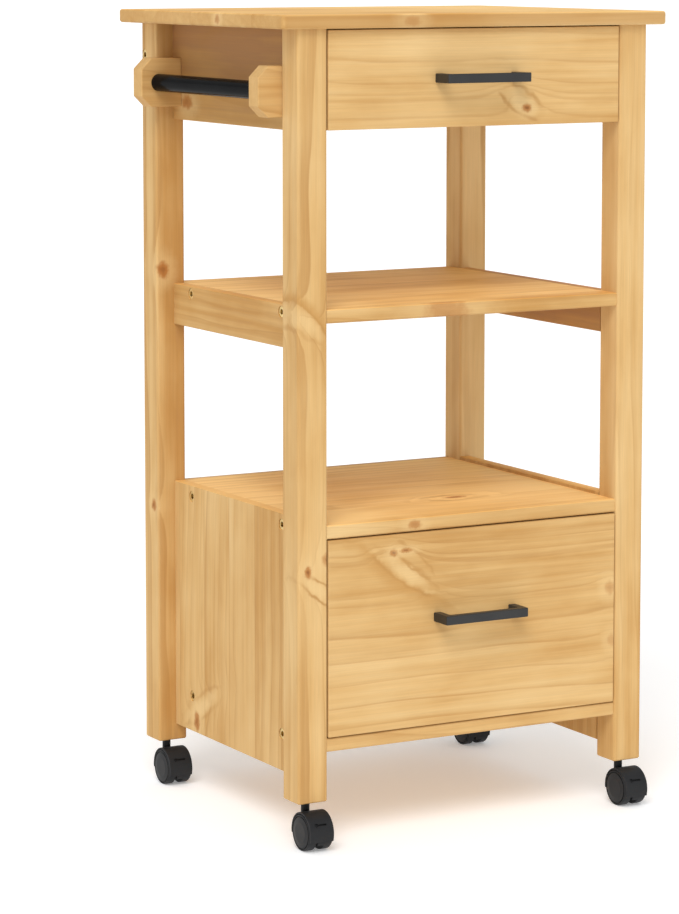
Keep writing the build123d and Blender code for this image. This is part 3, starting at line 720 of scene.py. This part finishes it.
def speckMaterial(name, finish):
    made, tree, shader, place = startMaterial(name)
    speck = noise(tree, place, finish["grain"], roughness=specks["noiseRoughness"])
    cloud = noise(tree, place, specks["cloudScale"], specks["cloudDetail"])
    mixed = plus(tree, times(tree, speck, specks["speckShare"]), times(tree, cloud, specks["cloudShare"]))
    colour = blendColour(tree, spread(tree, mixed, specks["contrast"]), finish["dark"], finish["light"])
    if "creviceShadeColour" in finish:  # painted shade: grooves, slots and sockets are darkened where the surface is hemmed in
        creviceShadeOpenness = addNode(tree, "ShaderNodeAmbientOcclusion", {"Distance": finish["creviceShadeReach"]},
                           only_local=True, samples=specks["creviceShadeSamples"]).outputs["AO"]
        colour = blendColour(tree, spread(tree, creviceShadeOpenness, finish["creviceShadeBand"]), finish["creviceShadeColour"], colour)
    tree.links.new(colour, shader.inputs["Base Color"])
    tree.links.new(spread(tree, mixed, specks["contrast"], finish["roughness"]), shader.inputs["Roughness"])
    shader.inputs["Metallic"].default_value = finish["metallic"]
    shader.inputs["Specular IOR Level"].default_value = finish["specular"]
    addBump(tree, shader, speck, finish["bump"], specks["bumpDepth"])
    return made


barBlack = speckMaterial("black_powder_coat", blackMetal)
for node in ("upper_drawer_handle", "lower_drawer_handle"):
    dress(node, barBlack)
dress("towel_bar", speckMaterial("black_gloss_tube", blackTube))
nylon = speckMaterial("black_moulded_nylon", blackNylon)
plated = speckMaterial("zinc_plated_steel", zincSteel)
for corner in ("front_left", "front_right", "back_left", "back_right"):
    dress(f"castor_{corner}_hood", nylon)
    dress(f"castor_{corner}_wheel_left", nylon)
    dress(f"castor_{corner}_wheel_right", nylon)
    dress(f"castor_{corner}_pins", plated)
for node in ("top_angle_brackets", "castor_sockets", "upper_handle_screws", "lower_handle_screws"):
    dress(node, plated)
brassy = speckMaterial("yellow_zinc_steel", yellowZinc)
for node in ("frame_screws", "wood_screws"):
    dress(node, brassy)
print("metal and plastic dressed")


# studio: pale floor, a sky brightest at the horizon and in front of the cart, one soft sun from front left

studio = {
    "floorSize": 400.0,
    "floorColour": (0.96, 0.96, 0.96, 1),
    "floorGlow": 0.22,
    "paperScale": 3.0,
    "paperBand": (0.3, 0.7),
    "paperRoughness": (0.78, 0.86),
    "skyColour": (1.0, 1.0, 1.0, 1),
    "skyStrength": 0.57,
    "horizonStrength": 1.06,
    "horizonBand": (0.10, 0.24),
    "frontFrom": (-0.36, -0.86, 0.36),
    "frontStrength": 0.40,
    "frontBand": (0.45, 0.95),
    "sunFrom": (-2.0, -2.6, 3.5),
    "sunStrength": 1.48,
    "sunAngle": 30.0,
}


def makeFloor():
    mesh = bpy.data.meshes.new("studio_floor")
    shape = bmesh.new()
    bmesh.ops.create_grid(shape, x_segments=1, y_segments=1, size=studio["floorSize"])
    shape.to_mesh(mesh)
    shape.free()
    floor = bpy.data.objects.new("studio_floor", mesh)
    bpy.context.scene.collection.objects.link(floor)
    made, tree, shader, place = startMaterial("studio_floor_paper")
    paper = noise(tree, place, studio["paperScale"])
    roughness = spread(tree, paper, studio["paperBand"], studio["paperRoughness"])
    tree.links.new(roughness, shader.inputs["Roughness"])
    shader.inputs["Base Color"].default_value = studio["floorColour"]
    shader.inputs["Emission Color"].default_value = studio["floorColour"]
    shader.inputs["Emission Strength"].default_value = studio["floorGlow"]
    mesh.materials.append(made)


def makeLights():
    sky = bpy.data.worlds.new("studio_sky")
    sky.use_nodes = True
    tree = sky.node_tree
    background = tree.nodes["Background"]
    background.inputs["Color"].default_value = studio["skyColour"]
    direction = addNode(tree, "ShaderNodeTexCoord").outputs["Generated"]
    rise = splitXyz(tree, direction)["Z"]
    horizonToSky = (studio["horizonStrength"], studio["skyStrength"])
    strength = spread(tree, rise, studio["horizonBand"], horizonToSky, True)
    toFront = vectorCalc(tree, "DOT_PRODUCT", direction, studio["frontFrom"])
    glow = spread(tree, toFront, studio["frontBand"], (0.0, studio["frontStrength"]), True)
    tree.links.new(plus(tree, strength, glow), background.inputs["Strength"])
    bpy.context.scene.world = sky
    lamp = bpy.data.lights.new("studio_sun", "SUN")
    lamp.energy = studio["sunStrength"]
    lamp.angle = math.radians(studio["sunAngle"])
    sun = bpy.data.objects.new("studio_sun", lamp)
    x, y, z = studio["sunFrom"]
    sun.rotation_euler = (math.atan2(math.hypot(x, y), z), 0, math.atan2(y, x) + math.pi / 2)
    bpy.context.scene.collection.objects.link(sun)


makeFloor()
makeLights()
bpy.context.scene.view_settings.view_transform = "Standard"
print("studio ready")


# camera at the photograph's angle: front left, a little above the worktop

view = {
    "lens": 134.33,
    "sensor": 36.0,
    "place": (-1.9340, -3.3458, 0.9734),
    "yaw": 29.13,
    "pitch": 6.28,
    "shiftUp": -0.15,
    "farEnd": 100.0,
}
lens = bpy.data.cameras.new("photo_camera")
lens.lens = view["lens"]
lens.sensor_width = view["sensor"]
lens.shift_y = view["shiftUp"]
lens.clip_end = view["farEnd"]
camera = bpy.data.objects.new("photo_camera", lens)
camera.location = view["place"]
camera.rotation_euler = (math.radians(90 - view["pitch"]), 0, math.radians(-view["yaw"]))
bpy.context.scene.collection.objects.link(camera)
bpy.context.scene.camera = camera
print("camera set")
